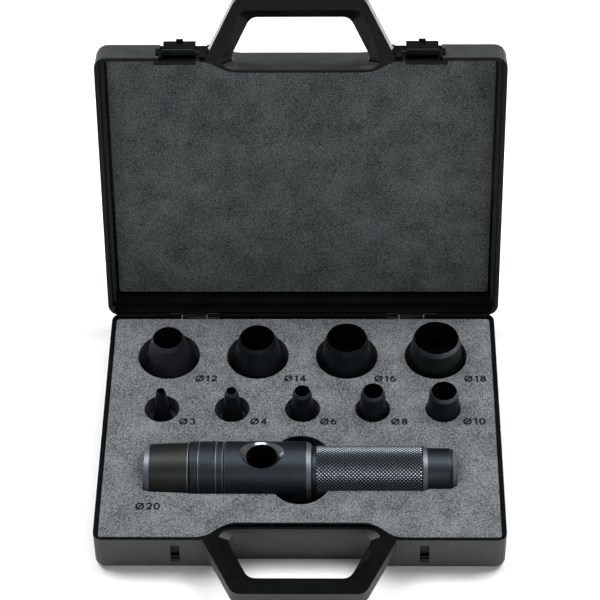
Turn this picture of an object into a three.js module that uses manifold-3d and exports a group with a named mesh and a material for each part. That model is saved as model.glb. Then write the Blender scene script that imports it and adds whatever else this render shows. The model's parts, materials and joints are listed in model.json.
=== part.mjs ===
// A drive hole punch with ten interchangeable cutting heads in its hinged plastic case.
// Millimetres, +Z up, X to the right, Y to the back. The origin is the middle of the case's underside.
import * as THREE from "three";
import { mergeVertices } from "three/addons/utils/BufferGeometryUtils.js";
import Module from "manifold-3d";

const wasm = await Module();
wasm.setup();

// ---- Case: driving dimensions ---------------------------------------------------
const BASE_HALF_W = 79.1; // half the base tray's width
const LID_HALF_W = 81; // the lid stands a little proud of the base
const HALF_D = 59.4; // half the depth of both shells
const BASE_H = 18; // underside to rim
const LID_H = 15; // rim to outer face
const RIM_GAP = 0.3; // between the two rims when the case is shut
const WALL = 1.5;
const FLOOR = 1.6;
const CORNER_R = 4;
const INNER_CORNER_R = 1.5;
const BASE_EDGE_R = 3; // rounding between walls and outer face
const LID_EDGE_R = 4;
const LEDGE = 1.8; // the lid's inner step, in from its wall
const LEDGE_DEPTH = 4;
const GAP = 0.3; // working clearance between neighbouring pieces

// ---- Hinge and lid angle --------------------------------------------------------
const OPEN_DEG = 104.2; // how far the lid stands open at rest
const HINGE_Y = 59.1;
const HINGE_Z = 16.3;
const KNUCKLE_R = 1.6;
const PIN_R = 0.7;
const HINGE_X = 45; // middle of each hinge
const LID_KNUCKLE = 10; // length of the lid's middle knuckle
const BASE_KNUCKLE = 5; // length of each of the base's two knuckles

// ---- Handles, one on each shell -------------------------------------------------
const HANDLE_T = 6;
const HANDLE_REACH = 25.4;
const HANDLE_TIP_X = 24.8; // half widths
const HANDLE_ROOT_X = 37;
const WINDOW_TIP_X = 19.3;
const WINDOW_WIDE_X = 27;
const WINDOW_BACK_X = 23.5;
const GRIP_BAR = 8.9;
const RECESS_IN = 5; // how far the front wall steps in behind the handle
const LIP = 3.8; // slope round the handle's window, wide and deep
const LIP_DEPTH = 2;

// ---- Latches: flaps on the lid that fold down over the base's front wall --------
const LATCH_X = 47.8;
const LATCH_W = 12.8;
const LATCH_T = 1.3;
const LATCH_L = 9.5; // pivot to free edge
const LATCH_DEPTH = 3.4; // pivot's distance from the lid's rim
const LATCH_R = 1.25;
const LATCH_Y = -HALF_D - 0.65; // pivot line
const LATCH_OFFSET = 0.3; // the plate's middle lies this far behind the pivot when folded back
const LATCH_RECESS_X = 55.5;
const LATCH_RECESS = 1.6;
const LATCH_STOP = [36.1, 39.6]; // the inner ear, beside the handle's root
const HOOK = { halfW: 1.4, from: 7.8, to: 9.3, proud: 1.15 };
const SLOT = { halfW: 1.75, zLow: 8.2, zHigh: 14.7 }; // in the base's wall, for the hook

// ---- Foam -----------------------------------------------------------------------
const FOAM_TOP = 17.2;
const PAD_T = 1.5;
const FOAM_BOTTOM = FLOOR + GAP + PAD_T + GAP; // the cut layer lies on a plain pad
const LID_FOAM_RECESS = 11.3;
const BIG_ROW_Y = 36.5;
const BIG_PITCH = 36.3;
const BIG_POCKET_R = 12.55;
const SMALL_ROW_Y = 7.8;
const SMALL_PITCH = 28.15;
const SMALL_ROW_SHIFT = 0.4; // the small row sits a little to the right of the middle
const SMALL_POCKET_R = 6.95;

// ---- Cutting heads --------------------------------------------------------------
const HEAD_L = 24.2; // every head is as tall, whatever its bore
const SHANK_L = 6.9;
const SHANK_R = 6.6;
const SHOULDER_R = 11.5;
const BIG_BORES = [12, 14, 16, 18];
const SMALL_BORES = [3, 4, 6, 8, 10];
const CHANNEL_R = 5.2; // passage for the slugs

// ---- Punch, measured along its axis from the middle of its length ---------------
const PUNCH_Y = -23.8;
const PUNCH_Z = FOAM_TOP - 1.5;
const BODY_R = 12;
const EDGE_X = -60.8; // cutting edge
const COLLAR_X = [-43.2, -29.9];
const BODY_X = [-29.6, 2.2];
const GRIP_X = [5.9, 47.7];
const GRIP_R = 10.4;
const TAIL_R = 9.4;
const TAIL_END_X = 60.8;
const SPIGOT_R = 8.5;
const SPIGOT_END_X = -34.4;
const SOCKET_R = SHANK_R + GAP;
const SLUG_WINDOW_X = -15;
const SLUG_WINDOW_R = 6;
const COUNTERSINK_R = 8.6;
const FINGER_R = 11.8; // two thumb recesses beside the punch
const FINGER_SHIFT = 5.5;

// ---- Materials ------------------------------------------------------------------
const material = (color, roughness, metalness) =>
  new THREE.MeshStandardMaterial({ color, roughness, metalness });
const shellPlastic = material(0x151718, 0.42, 0);
const foam = material(0x66696a, 0.95, 0);
const lidFoam = material(0x505354, 0.95, 0);
const blackSteel = material(0x23262a, 0.35, 0.9);
const knurledSteel = material(0x4a5058, 0.35, 0.9);
const pinSteel = material(0x9a9da0, 0.3, 1);

// ---- Helpers --------------------------------------------------------------------
// A closed three.js geometry as a solid that can be joined and cut.
function solid(geometry) {
  const bare = geometry.clone();
  bare.deleteAttribute("normal");
  bare.deleteAttribute("uv");
  const merged = mergeVertices(bare, 1e-4);
  return new wasm.Manifold(
    new wasm.Mesh({
      numProp: 3,
      vertProperties: merged.attributes.position.array,
      triVerts: new Uint32Array(merged.index.array),
    }),
  );
}

// A solid back as a geometry.
function geometryOf(made) {
  const mesh = made.getMesh();
  const geometry = new THREE.BufferGeometry();
  geometry.setAttribute("position", new THREE.BufferAttribute(mesh.vertProperties, 3));
  geometry.setIndex(new THREE.BufferAttribute(mesh.triVerts, 1));
  geometry.computeVertexNormals();
  return geometry;
}

const cutAll = (body, tools) => tools.reduce((left, tool) => left.subtract(tool), body);
const joinAll = (pieces) => pieces.reduce((sum, piece) => sum.add(piece));

// A box between two corners.
function box(low, high) {
  const size = high.map((value, i) => value - low[i]);
  const geometry = new THREE.BoxGeometry(...size);
  geometry.translate(...low.map((value, i) => value + size[i] / 2));
  return solid(geometry);
}

// An upright prism of a shape between two heights.
function prism(shape, zLow, zHigh, curveSegments = 8) {
  const depth = zHigh - zLow;
  const geometry = new THREE.ExtrudeGeometry(shape, { depth, bevelEnabled: false, curveSegments });
  geometry.translate(0, 0, zLow);
  return solid(geometry);
}

// A turned solid about +Z from a closed outline of [radius, height] points.
function turned(outline, segments = 32) {
  const points = outline.map(([r, z]) => new THREE.Vector2(r, z));
  if (THREE.ShapeUtils.area(points) < 0) points.reverse();
  points.push(points[0].clone());
  const geometry = new THREE.LatheGeometry(points, segments);
  geometry.rotateX(Math.PI / 2);
  return solid(geometry);
}

// An upright cylinder between two heights.
const post = (x, y, radius, zLow, zHigh, segments = 28) =>
  turned([[0, zLow], [radius, zLow], [radius, zHigh], [0, zHigh]], segments).translate([x, y, 0]);

// A cylinder along X between two stations.
const rod = (xLow, xHigh, y, z, radius, segments = 24) =>
  post(0, 0, radius, xLow, xHigh, segments).rotate([0, 90, 0]).translate([0, y, z]);

// A solid that runs straight from one outline to another of as many points.
function loft(lowShape, highShape, zLow, zHigh) {
  const low = lowShape.getPoints(6);
  const high = highShape.getPoints(6);
  const count = low.length;
  const corners = [...low.map(({ x, y }) => [x, y, zLow]), ...high.map(({ x, y }) => [x, y, zHigh])];
  const sides = low.flatMap((_, i) => {
    const next = (i + 1) % count;
    return [i, next, count + next, i, count + next, count + i];
  });
  const caps = THREE.ShapeUtils.triangulateShape(low, []).flatMap(([a, b, c]) => {
    return [c, b, a, count + a, count + b, count + c];
  });
  const geometry = new THREE.BufferGeometry();
  geometry.setAttribute("position", new THREE.Float32BufferAttribute(corners.flat(), 3));
  geometry.setIndex([...sides, ...caps]);
  return solid(geometry);
}

// ---- Case outlines --------------------------------------------------------------
// The shells' plan: a rounded rectangle whose front steps in behind the handle in two S-curves.
function casePlan(halfW, halfBack, halfFront, corner, step) {
  const shape = new THREE.Shape();
  shape.moveTo(-halfW + corner, halfBack);
  shape.quadraticCurveTo(-halfW, halfBack, -halfW, halfBack - corner);
  shape.lineTo(-halfW, -halfFront + corner);
  shape.quadraticCurveTo(-halfW, -halfFront, -halfW + corner, -halfFront);
  if (step) {
    const { outerX, innerX, y } = step;
    const middleX = (outerX + innerX) / 2;
    shape.lineTo(-outerX, -halfFront);
    shape.bezierCurveTo(-middleX, -halfFront, -middleX, y, -innerX, y);
    shape.lineTo(innerX, y);
    shape.bezierCurveTo(middleX, y, middleX, -halfFront, outerX, -halfFront);
  }
  shape.lineTo(halfW - corner, -halfFront);
  shape.quadraticCurveTo(halfW, -halfFront, halfW, -halfFront + corner);
  shape.lineTo(halfW, halfBack - corner);
  shape.quadraticCurveTo(halfW, halfBack, halfW - corner, halfBack);
  return shape;
}

// A tray with its outer face down at z 0, rounded below, and its plan step carried up the wall.
function trayBody(halfW, height, edgeR, step) {
  const inset = casePlan(halfW - edgeR, HALF_D - edgeR, HALF_D - edgeR, CORNER_R / 4, null);
  const rounded = new THREE.ExtrudeGeometry(inset, {
    depth: height,
    bevelThickness: edgeR,
    bevelSize: edgeR,
    bevelSegments: 4,
    curveSegments: 4,
  });
  rounded.translate(0, 0, edgeR);
  const roof = box([-200, -200, height], [200, 200, 2 * height + 20]);
  const plan = prism(casePlan(halfW, HALF_D, HALF_D, CORNER_R, step), -1, height + 1);
  return solid(rounded).subtract(roof).intersect(plan);
}

// The handle's plate, from inside the front wall out to the grip bar.
function handlePlan() {
  const shape = new THREE.Shape();
  const tipY = -HALF_D - HANDLE_REACH;
  const round = 3;
  shape.moveTo(-HANDLE_ROOT_X, -HALF_D + 6);
  shape.lineTo(-HANDLE_ROOT_X, -HALF_D);
  shape.lineTo(-HANDLE_TIP_X - round * 0.5, tipY + round);
  shape.quadraticCurveTo(-HANDLE_TIP_X, tipY, -HANDLE_TIP_X + round, tipY);
  shape.lineTo(HANDLE_TIP_X - round, tipY);
  shape.quadraticCurveTo(HANDLE_TIP_X, tipY, HANDLE_TIP_X + round * 0.5, tipY + round);
  shape.lineTo(HANDLE_ROOT_X, -HALF_D);
  shape.lineTo(HANDLE_ROOT_X, -HALF_D + 6);
  return shape;
}

// The hand hole; grow widens it for the slope round its edge, though hardly towards the case.
function windowPlan(grow) {
  const backY = -HALF_D + RECESS_IN + Math.min(grow, 0.5);
  const wideY = -HALF_D;
  const tipY = -HALF_D - HANDLE_REACH + GRIP_BAR - grow;
  const shape = new THREE.Shape();
  const round = 3;
  const tipX = WINDOW_TIP_X + grow;
  const wideX = WINDOW_WIDE_X + grow;
  const backX = WINDOW_BACK_X + grow;
  shape.moveTo(-backX + round, backY);
  shape.quadraticCurveTo(-wideX - 0.5, backY, -wideX, wideY);
  shape.lineTo(-tipX - round * 0.45, tipY + round);
  shape.quadraticCurveTo(-tipX, tipY, -tipX + round, tipY);
  shape.lineTo(tipX - round, tipY);
  shape.quadraticCurveTo(tipX, tipY, tipX + round * 0.45, tipY + round);
  shape.lineTo(wideX, wideY);
  shape.quadraticCurveTo(wideX + 0.5, backY, backX - round, backY);
  return shape;
}

// The two shells share one build; the lid's is turned over afterwards. Rim at z = height.
function shell(halfW, height, edgeR, ledge) {
  const outerStep = { outerX: HANDLE_ROOT_X + 2, innerX: WINDOW_BACK_X, y: -HALF_D + RECESS_IN };
  const cavity = (inset, from) => {
    const innerStep = {
      outerX: HANDLE_ROOT_X + 4,
      innerX: WINDOW_BACK_X + 0.5,
      y: -HALF_D + RECESS_IN + inset,
    };
    const deep = HALF_D - inset;
    const plan = casePlan(halfW - inset, deep, deep, INNER_CORNER_R, innerStep);
    return prism(plan, from, height + 1, 6);
  };
  const plate = prism(handlePlan(), height - HANDLE_T, height);
  const body = trayBody(halfW, height, edgeR, outerStep).add(plate);
  return cutAll(body, [
    cavity(WALL + ledge, FLOOR),
    cavity(WALL, ledge ? height - LEDGE_DEPTH : FLOOR),
    prism(windowPlan(0), height - HANDLE_T - 1, height + 1),
    loft(windowPlan(0), windowPlan(2 * LIP), height - LIP_DEPTH, height + LIP_DEPTH),
  ]);
}

// ---- Case pieces ----------------------------------------------------------------
function baseShell() {
  const hingeGaps = [-1, 1].map((side) =>
    box(
      [side * HINGE_X - LID_KNUCKLE / 2 - GAP, HINGE_Y - 1.8, HINGE_Z - 2.1],
      [side * HINGE_X + LID_KNUCKLE / 2 + GAP, HINGE_Y + 3, BASE_H + 1],
    ),
  );
  const knuckles = [-1, 1].flatMap((side) =>
    [-1, 1].map((end) => {
      const from = side * HINGE_X + end * (LID_KNUCKLE / 2 + GAP);
      const to = from + end * BASE_KNUCKLE;
      return rod(Math.min(from, to), Math.max(from, to), HINGE_Y, HINGE_Z, KNUCKLE_R);
    }),
  );
  const pinHoles = [-1, 1].map((side) =>
    rod(side * HINGE_X - 11, side * HINGE_X + 11, HINGE_Y, HINGE_Z, PIN_R + 0.1),
  );
  const slots = [-1, 1].map((side) =>
    box(
      [side * LATCH_X - SLOT.halfW, -HALF_D - 1, SLOT.zLow],
      [side * LATCH_X + SLOT.halfW, -HALF_D + WALL + 0.5, SLOT.zHigh],
    ),
  );
  const thumbRests = [-1, 1].map((side) =>
    box(
      [side * LATCH_X - SLOT.halfW, -HALF_D - 0.8, SLOT.zLow - 2.6],
      [side * LATCH_X + SLOT.halfW, -HALF_D + 0.5, SLOT.zLow - 0.6],
    ),
  );
  const body = cutAll(shell(BASE_HALF_W, BASE_H, BASE_EDGE_R, 0), [...hingeGaps, ...slots]);
  return cutAll(joinAll([body, ...knuckles, ...thumbRests]), pinHoles);
}

// Built rim-up like the base, then turned over onto it: the case is shut in this function's frame.
const LID_RIM_Z = BASE_H + RIM_GAP;
const overOntoBase = (made) => made.rotate([0, 180, 0]).translate([0, 0, LID_RIM_Z + LID_H]);

function lidShell() {
  const recessFloor = -HALF_D + LATCH_RECESS;
  const latchBand = box([-LATCH_RECESS_X, -HALF_D - 1, -1], [LATCH_RECESS_X, recessFloor, LID_H + 1]);
  const keepHandle = box([-HANDLE_ROOT_X, -HALF_D - 2, 0], [HANDLE_ROOT_X, -HALF_D + 4, LID_H]);
  const backing = box(
    [-LATCH_RECESS_X - 2, recessFloor, FLOOR + 1],
    [LATCH_RECESS_X + 2, recessFloor + WALL, LID_H],
  );
  const behindHandle = box([-HANDLE_ROOT_X - 4, -HALF_D, 0], [HANDLE_ROOT_X + 4, 0, LID_H + 1]);
  const raw = shell(LID_HALF_W, LID_H, LID_EDGE_R, LEDGE)
    .add(backing.subtract(behindHandle))
    .subtract(latchBand.subtract(keepHandle));
  const pivotZ = LID_H - LATCH_DEPTH;
  const outerEar = [LATCH_X + LATCH_W / 2 + GAP, LATCH_RECESS_X + 1.2];
  const ears = [-1, 1].flatMap((side) =>
    [LATCH_STOP, outerEar].map(([from, to]) =>
      box(
        [Math.min(side * from, side * to), LATCH_Y - 1, pivotZ - 1.5],
        [Math.max(side * from, side * to), recessFloor + 0.5, pivotZ + 1.5],
      ),
    ),
  );
  const axles = [-1, 1].map((side) => {
    const ends = [side * (LATCH_STOP[1] - 1), side * (LATCH_RECESS_X + 0.5)];
    return rod(Math.min(...ends), Math.max(...ends), LATCH_Y, pivotZ, 0.6, 16);
  });
  const tray = overOntoBase(joinAll([raw, ...ears, ...axles]));
  const knuckles = [-1, 1].map((side) => {
    const low = side * HINGE_X - LID_KNUCKLE / 2;
    const high = side * HINGE_X + LID_KNUCKLE / 2;
    const barrel = rod(low, high, HINGE_Y, HINGE_Z, KNUCKLE_R);
    const arm = box([low, HALF_D - WALL, HINGE_Z], [high, HALF_D, LID_RIM_Z + 3]);
    return barrel.add(arm);
  });
  const pinHoles = [-1, 1].map((side) =>
    rod(side * HINGE_X - 6, side * HINGE_X + 6, HINGE_Y, HINGE_Z, PIN_R + 0.1),
  );
  return cutAll(joinAll([tray, ...knuckles]), pinHoles);
}

// A flap latch, folded right back against the lid as it is when the case stands open.
function latch(side) {
  const x = side * LATCH_X;
  const axisZ = LID_RIM_Z + LATCH_DEPTH;
  const low = x - LATCH_W / 2;
  const high = x + LATCH_W / 2;
  const outerY = LATCH_Y + LATCH_OFFSET - LATCH_T / 2;
  const innerY = outerY + LATCH_T;
  const barrel = rod(low, high, LATCH_Y, axisZ, LATCH_R, 20);
  const plate = box([low, outerY, axisZ], [high, innerY, axisZ + LATCH_L]);
  const ridge = rod(low, high, innerY, axisZ + LATCH_L - 0.9, 0.9, 12);
  const hook = box(
    [x - HOOK.halfW, outerY - HOOK.proud, axisZ + HOOK.from],
    [x + HOOK.halfW, LATCH_Y, axisZ + HOOK.to],
  );
  return joinAll([barrel, plate, ridge, hook]).subtract(rod(low - 1, high + 1, LATCH_Y, axisZ, 0.7, 16));
}

const hingePin = (side) =>
  rod(side * HINGE_X - 10, side * HINGE_X + 10, HINGE_Y, HINGE_Z, PIN_R, 16);

// ---- Foam pieces ----------------------------------------------------------------
const foamStep = { outerX: 41, innerX: 23.5, y: -50.2 };
const foamPlan = () => casePlan(BASE_HALF_W - WALL - GAP, 57.2, 57.5, INNER_CORNER_R, foamStep);

// A slot with round ends across the punch, where a thumb and a finger reach in.
function fingerPlan() {
  const shape = new THREE.Shape();
  shape.absarc(0, PUNCH_Y + FINGER_SHIFT, FINGER_R, 0, Math.PI);
  shape.absarc(0, PUNCH_Y - FINGER_SHIFT, FINGER_R, Math.PI, 2 * Math.PI);
  return shape;
}

// The punch's own trough, which follows the punch's outline with a small gap.
function trough() {
  const outline = [
    [EDGE_X - 0.4, 10.1],
    [EDGE_X + 2, 10.9],
    [COLLAR_X[0], SHOULDER_R + 0.1],
    [COLLAR_X[0] + 1, BODY_R],
    [BODY_X[1], BODY_R],
    [BODY_X[1] + 2.3, BODY_R - 1.1],
    [GRIP_X[0], GRIP_R],
    [GRIP_X[1], GRIP_R],
    [GRIP_X[1] + 2, TAIL_R],
    [TAIL_END_X - 2, TAIL_R],
    [TAIL_END_X + 0.4, TAIL_R - 1.4],
  ];
  const shape = new THREE.Shape();
  outline.forEach(([x, r], i) => {
    if (i) shape.lineTo(x, PUNCH_Y + r + GAP);
    else shape.moveTo(x, PUNCH_Y + r + GAP);
  });
  [...outline].reverse().forEach(([x, r]) => shape.lineTo(x, PUNCH_Y - r - GAP));
  return prism(shape, FOAM_BOTTOM - 1, FOAM_TOP + 1);
}

const bigPocketX = BIG_BORES.map((_, i) => (i - 1.5) * BIG_PITCH);
const smallPocketX = SMALL_BORES.map((_, i) => (i - 2) * SMALL_PITCH + SMALL_ROW_SHIFT);

function baseFoam() {
  const body = prism(foamPlan(), FOAM_BOTTOM, FOAM_TOP, 10);
  return cutAll(body, [
    ...bigPocketX.map((x) => post(x, BIG_ROW_Y, BIG_POCKET_R, FOAM_BOTTOM - 1, FOAM_TOP + 1)),
    ...smallPocketX.map((x) => post(x, SMALL_ROW_Y, SMALL_POCKET_R, FOAM_BOTTOM - 1, FOAM_TOP + 1, 20)),
    prism(fingerPlan(), FOAM_BOTTOM - 1, FOAM_TOP + 1, 16),
    trough(),
  ]);
}

const basePad = () => prism(foamPlan(), FLOOR + GAP, FLOOR + GAP + PAD_T, 10);

function lidFoamPad() {
  const plan = casePlan(LID_HALF_W - WALL - LEDGE - GAP - 0.3, 54.9, 54.2, INNER_CORNER_R, {
    outerX: 39,
    innerX: 25.5,
    y: -50.6,
  });
  const face = LID_RIM_Z + LID_FOAM_RECESS;
  return prism(plan, face, LID_RIM_Z + LID_H - FLOOR - GAP, 8);
}

// ---- Cutting heads --------------------------------------------------------------
// A head stands on its shank at z 0 with its cutting edge up at HEAD_L.
function headSolid(bore) {
  const big = bore >= 12;
  const edge = bore / 2;
  const bevelL = big ? 2 : 1.5;
  const bevelR = edge + (big ? 0.8 : 0.75);
  const waistR = big ? 9.3 + (bore - 12) * 0.24 : 0.5 * bore + 1.45;
  const waistZ = HEAD_L - 10.7;
  const footR = big ? SHOULDER_R : Math.min(SHANK_R, waistR + 1);
  const relief = edge + 0.25;
  const passR = Math.min(edge + 0.25, CHANNEL_R);
  const cupFloor = SHANK_L + 3.5;
  const outer = [
    [passR, 0],
    [SHANK_R - 0.4, 0],
    [SHANK_R, 0.4],
    [SHANK_R, SHANK_L],
    [footR, SHANK_L + 0.01],
    [footR, SHANK_L + 0.8],
    [waistR, waistZ],
    [bevelR, HEAD_L - bevelL],
    [edge + 0.08, HEAD_L],
    [edge, HEAD_L],
  ];
  const inner = big
    ? [[edge, HEAD_L - 3], [relief, HEAD_L - 3.2], [relief, cupFloor], [passR, cupFloor]]
    : [[edge, HEAD_L - 3], [passR, HEAD_L - 3.2]];
  return turned([...outer, ...inner], big ? 28 : 20);
}

// ---- Punch ----------------------------------------------------------------------
// Turned about +Z first, then laid along X with z becoming x.
const layAlongX = (made) => made.rotate([0, 90, 0]).translate([0, PUNCH_Y, PUNCH_Z]);

function collarSolid() {
  const [front, back] = COLLAR_X;
  const groove = (x) => [[BODY_R, x - 0.3], [BODY_R - 0.35, x], [BODY_R, x + 0.3]];
  const webFront = front + SHANK_L;
  const webBack = SPIGOT_END_X - GAP;
  return layAlongX(
    turned([
      [SOCKET_R, front],
      [SHOULDER_R - 0.2, front],
      [BODY_R, front + 1],
      ...groove(-39.7),
      ...groove(-32.9),
      [BODY_R, back - 0.2],
      [BODY_R - 0.2, back],
      [SPIGOT_R + GAP, back],
      [SPIGOT_R + GAP, webBack],
      [CHANNEL_R, webBack],
      [CHANNEL_R, webFront],
      [SOCKET_R, webFront],
    ]),
  );
}

function handleSolid() {
  const [start, bevel] = BODY_X;
  const channelEnd = SLUG_WINDOW_X + SLUG_WINDOW_R;
  const turnedBody = turned([
    [CHANNEL_R, SPIGOT_END_X],
    [SPIGOT_R, SPIGOT_END_X],
    [SPIGOT_R, start],
    [BODY_R - 0.3, start],
    [BODY_R, start + 0.3],
    [BODY_R, bevel],
    [BODY_R - 1.1, bevel + 2.3],
    [GRIP_R - 0.4, bevel + 2.5],
    [GRIP_R - 0.4, GRIP_X[0] - 0.3],
    [GRIP_R, GRIP_X[0]],
    [GRIP_R, GRIP_X[1]],
    [TAIL_R, GRIP_X[1] + 2],
    [TAIL_R, TAIL_END_X - 2.4],
    [TAIL_R - 1.6, TAIL_END_X],
    [0, TAIL_END_X],
    [0, channelEnd + 3],
    [CHANNEL_R, channelEnd],
  ], 36);
  const slugWindow = post(SLUG_WINDOW_X, PUNCH_Y, SLUG_WINDOW_R, PUNCH_Z - 2, PUNCH_Z + 20);
  const sinkTop = PUNCH_Z + BODY_R;
  const sinkDepth = COUNTERSINK_R - SLUG_WINDOW_R;
  const countersink = turned([
    [0, sinkTop - sinkDepth - 1],
    [SLUG_WINDOW_R - 1, sinkTop - sinkDepth - 1],
    [COUNTERSINK_R + 2, sinkTop + 2],
    [0, sinkTop + 2],
  ]).translate([SLUG_WINDOW_X, PUNCH_Y, 0]);
  return cutAll(layAlongX(turnedBody), [slugWindow, countersink]);
}

const mountedHead = () =>
  layAlongX(headSolid(20).rotate([180, 0, 0]).translate([0, 0, EDGE_X + HEAD_L]));

// ---- Assembly -------------------------------------------------------------------
const root = new THREE.Group();

function add(name, made, look, parent = root) {
  const mesh = new THREE.Mesh(geometryOf(made), look);
  mesh.name = name;
  parent.add(mesh);
  return mesh;
}

// Everything on the lid is modelled shut, in a group that swings open about the hinge.
const lid = new THREE.Group();
lid.position.set(0, HINGE_Y, HINGE_Z);
lid.rotation.x = -THREE.MathUtils.degToRad(OPEN_DEG);
root.add(lid);
const aboutHinge = (made) => made.translate([0, -HINGE_Y, -HINGE_Z]);

add("base_shell", baseShell(), shellPlastic);
add("lid_shell", aboutHinge(lidShell()), shellPlastic, lid);
add("base_foam_insert", baseFoam(), foam);
add("base_foam_pad", basePad(), foam);
add("lid_foam_pad", aboutHinge(lidFoamPad()), lidFoam, lid);
add("hinge_pin_left", hingePin(-1), pinSteel);
add("hinge_pin_right", hingePin(1), pinSteel);
add("latch_left", aboutHinge(latch(-1)), shellPlastic, lid);
add("latch_right", aboutHinge(latch(1)), shellPlastic, lid);

const label = (bore) => "head_" + String(bore).padStart(2, "0") + "mm";
const standing = (bore, x, y) => {
  const mesh = add(label(bore), headSolid(bore), blackSteel);
  mesh.position.set(x, y, FOAM_BOTTOM);
};
BIG_BORES.forEach((bore, i) => standing(bore, bigPocketX[i], BIG_ROW_Y));
SMALL_BORES.forEach((bore, i) => standing(bore, smallPocketX[i], SMALL_ROW_Y));

add("head_20mm", mountedHead(), blackSteel);
add("head_collar", collarSolid(), blackSteel);
add("punch_handle", handleSolid(), knurledSteel);

export default root;
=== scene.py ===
"""Fine shapes, finishes and light for a hole punch set in its open case.

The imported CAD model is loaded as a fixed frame. Turned parts, foam and printed sizes are made here
at full detail and stand for their CAD solids. The case keeps its CAD shape, with its edges broken.
"""

import json
import math

import bmesh
import bpy
from mathutils import Matrix, Vector


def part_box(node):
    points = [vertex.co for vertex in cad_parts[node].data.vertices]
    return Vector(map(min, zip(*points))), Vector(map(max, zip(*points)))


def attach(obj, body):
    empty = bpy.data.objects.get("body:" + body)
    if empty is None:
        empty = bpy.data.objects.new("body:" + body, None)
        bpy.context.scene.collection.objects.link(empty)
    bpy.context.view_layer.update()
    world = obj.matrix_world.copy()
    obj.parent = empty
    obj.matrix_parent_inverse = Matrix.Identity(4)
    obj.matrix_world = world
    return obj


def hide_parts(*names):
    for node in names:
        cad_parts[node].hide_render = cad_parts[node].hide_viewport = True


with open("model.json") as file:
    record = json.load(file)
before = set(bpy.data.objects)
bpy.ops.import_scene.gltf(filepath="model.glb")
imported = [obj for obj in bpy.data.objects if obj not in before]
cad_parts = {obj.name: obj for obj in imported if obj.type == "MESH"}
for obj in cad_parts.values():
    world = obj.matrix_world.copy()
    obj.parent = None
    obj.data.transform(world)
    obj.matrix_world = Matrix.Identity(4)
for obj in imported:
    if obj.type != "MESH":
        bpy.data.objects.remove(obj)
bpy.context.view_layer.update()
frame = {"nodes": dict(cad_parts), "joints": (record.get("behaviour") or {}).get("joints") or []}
MM = 0.001

# ---- Sizes shared with the CAD, in millimetres --------------


def node_box(name):
    """A CAD node's lowest and highest corners in millimetres."""
    low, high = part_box(name)
    return [value / MM for value in low], [value / MM for value in high]


foam_low, foam_high = node_box("base_foam_insert")
FOAM_TOP = foam_high[2]
FOAM_BOTTOM = foam_low[2]
HEAD_L = node_box("head_12mm")[1][2] - FOAM_BOTTOM
handle_low, handle_high = node_box("punch_handle")
PUNCH_Y = (handle_low[1] + handle_high[1]) / 2
PUNCH_Z = (handle_low[2] + handle_high[2]) / 2
EDGE_X = node_box("head_20mm")[0][0]
TAIL_END_X = handle_high[0]
SPIGOT_END_X = handle_low[0]
COLLAR_FRONT, COLLAR_BACK = node_box("head_collar")[0][0], node_box("head_collar")[1][0]

BIG_BORES = (12, 14, 16, 18)
SMALL_BORES = (3, 4, 6, 8, 10)
SHANK_L = 6.9
SHANK_R = 6.6
CHANNEL_R = 5.2
BODY_R = 12
BODY_END_X = 2.2
GRIP_X = (5.9, 47.7)
GRIP_R = 10.4
TAIL_R = 9.4
SPIGOT_R = 8.5
SLUG_WINDOW_X = -15
SLUG_WINDOW_R = 6
KNURL_AROUND = 90  # half diamonds round the grip
KNURL_PITCH = 0.73  # half a diamond along it
KNURL_DEPTH = 0.42
BIG_POCKET_R = 12.55
SMALL_POCKET_R = 6.95


def middle(name):
    """The middle of a CAD node in plan."""
    low, high = node_box(name)
    return (low[0] + high[0]) / 2, (low[1] + high[1]) / 2


def head_name(bore):
    """The CAD node of the head with that bore."""
    return f"head_{bore:02d}mm"


# ---- Camera ----------------------------------------------------------------------
ELEVATION = math.radians(46.227)
YAW = math.radians(1.45)
ROLL = math.radians(-1.052)
DISTANCE = 0.99623
LOOK_AT = Vector((-0.00132, 0.06803, 0.0172))
LENS = 143.04


def make_camera():
    """A long lens in front of the case and above it, a little to the right of its middle line."""
    back = Vector((
        math.sin(YAW) * math.cos(ELEVATION),
        -math.cos(YAW) * math.cos(ELEVATION),
        math.sin(ELEVATION),
    ))
    level_right = Vector((math.cos(YAW), math.sin(YAW), 0))
    level_up = back.cross(level_right)
    right = math.cos(ROLL) * level_right + math.sin(ROLL) * level_up
    up = math.cos(ROLL) * level_up - math.sin(ROLL) * level_right
    data = bpy.data.cameras.new("camera")
    data.lens = LENS
    data.clip_start = 0.01
    data.clip_end = 20
    camera = bpy.data.objects.new("camera", data)
    bpy.context.collection.objects.link(camera)
    columns = (right, up, back, LOOK_AT + back * DISTANCE)
    rows = [[column[i] for column in columns] for i in range(3)]
    camera.matrix_world = Matrix(rows + [[0, 0, 0, 1]])
    bpy.context.scene.camera = camera


make_camera()

# ---- Node helpers ----------------------------------------------------------------


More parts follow.
